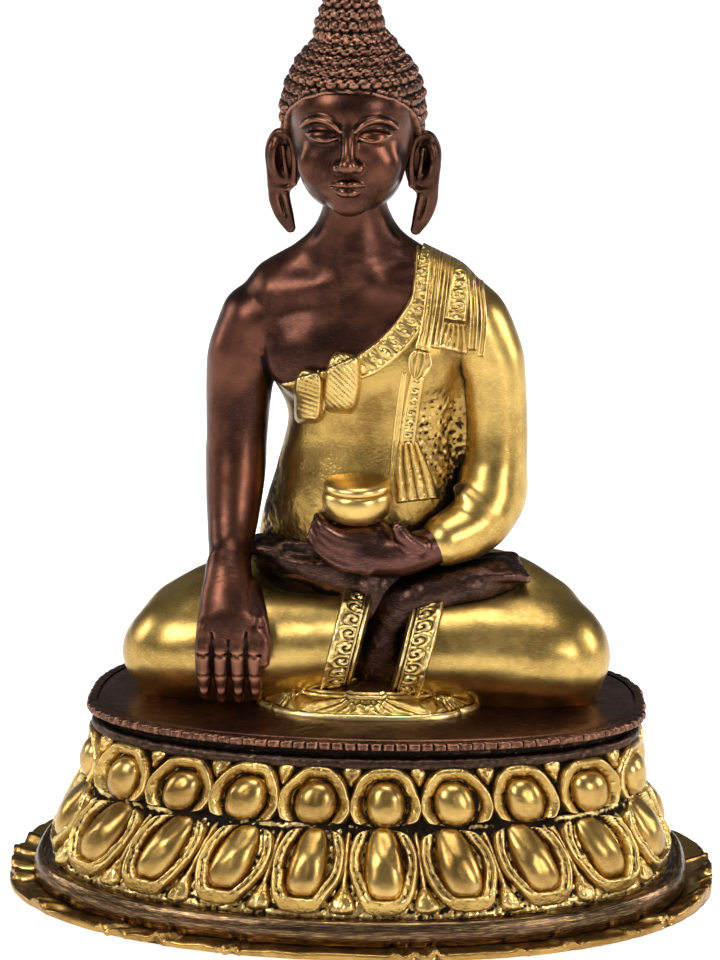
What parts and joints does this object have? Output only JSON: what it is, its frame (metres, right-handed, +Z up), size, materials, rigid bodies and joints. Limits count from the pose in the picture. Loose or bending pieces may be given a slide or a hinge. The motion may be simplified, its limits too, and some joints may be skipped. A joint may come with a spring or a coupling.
{
  "type": "buddha statue",
  "caption": "Cast two-tone brass seated buddha, right hand to the earth and bowl in the lap, on a double lotus base closed by a brass sheet.",
  "frame": {"origin": "centre of the underside of the brass sheet under the base", "axes": "+Z up, the figure faces -Y, its right hand is on the -X side"},
  "size_m": [0.1542, 0.0904, 0.205],
  "materials": {
    "skin_copper": "oxidised copper brown, rubbed to a soft shine on the high spots",
    "hair_copper": "dark oxidised copper brown with black recesses",
    "base_copper": "oxidised copper brown, scratched through to brass on the edges",
    "robe_brass": "hand filed and polished brass with dark recesses",
    "petal_brass": "punched and rubbed brass with dark recesses",
    "bowl_brass": "polished brass",
    "sheet_brass": "aged thin brass sheet, creased",
    "pin_brass": "plain turned brass"
  },
  "bodies": {
    "root": {"alms_bowl": "bowl_brass", "bare_torso": "skin_copper", "bead_rim": "base_copper", "bowl_lid": "bowl_brass", "bowl_peg": "pin_brass", "chest_fold": "robe_brass", "deck_plate": "base_copper", "figure_rivets": "pin_brass", "finial": "hair_copper", "foot_band": "base_copper", "hair_cap": "hair_copper", "hair_curls": "hair_copper", "hanging_hem": "robe_brass", "head": "skin_copper", "left_cuff": "robe_brass", "left_ear": "skin_copper", "left_foot": "skin_copper", "left_hand": "skin_copper", "left_leg": "robe_brass", "left_sleeve": "robe_brass", "lotus_wall": "base_copper", "lower_petal_bosses": "petal_brass", "lower_petals": "petal_brass", "neck_moulding": "base_copper", "petal_darts": "petal_brass", "right_arm": "skin_copper", "right_cuff": "robe_brass", "right_ear": "skin_copper", "right_foot": "skin_copper", "right_hand": "skin_copper", "right_leg": "robe_brass", "robe_hem_band": "robe_brass", "robe_torso": "robe_brass", "seal_plate": "sheet_brass", "seat_cloth": "robe_brass", "shoulder_pins": "pin_brass", "shoulder_strap": "robe_brass", "sleeve_drape": "robe_brass", "topknot": "hair_copper", "upper_petal_bosses": "petal_brass", "upper_petals": "petal_brass"}
  },
  "joints": []
}
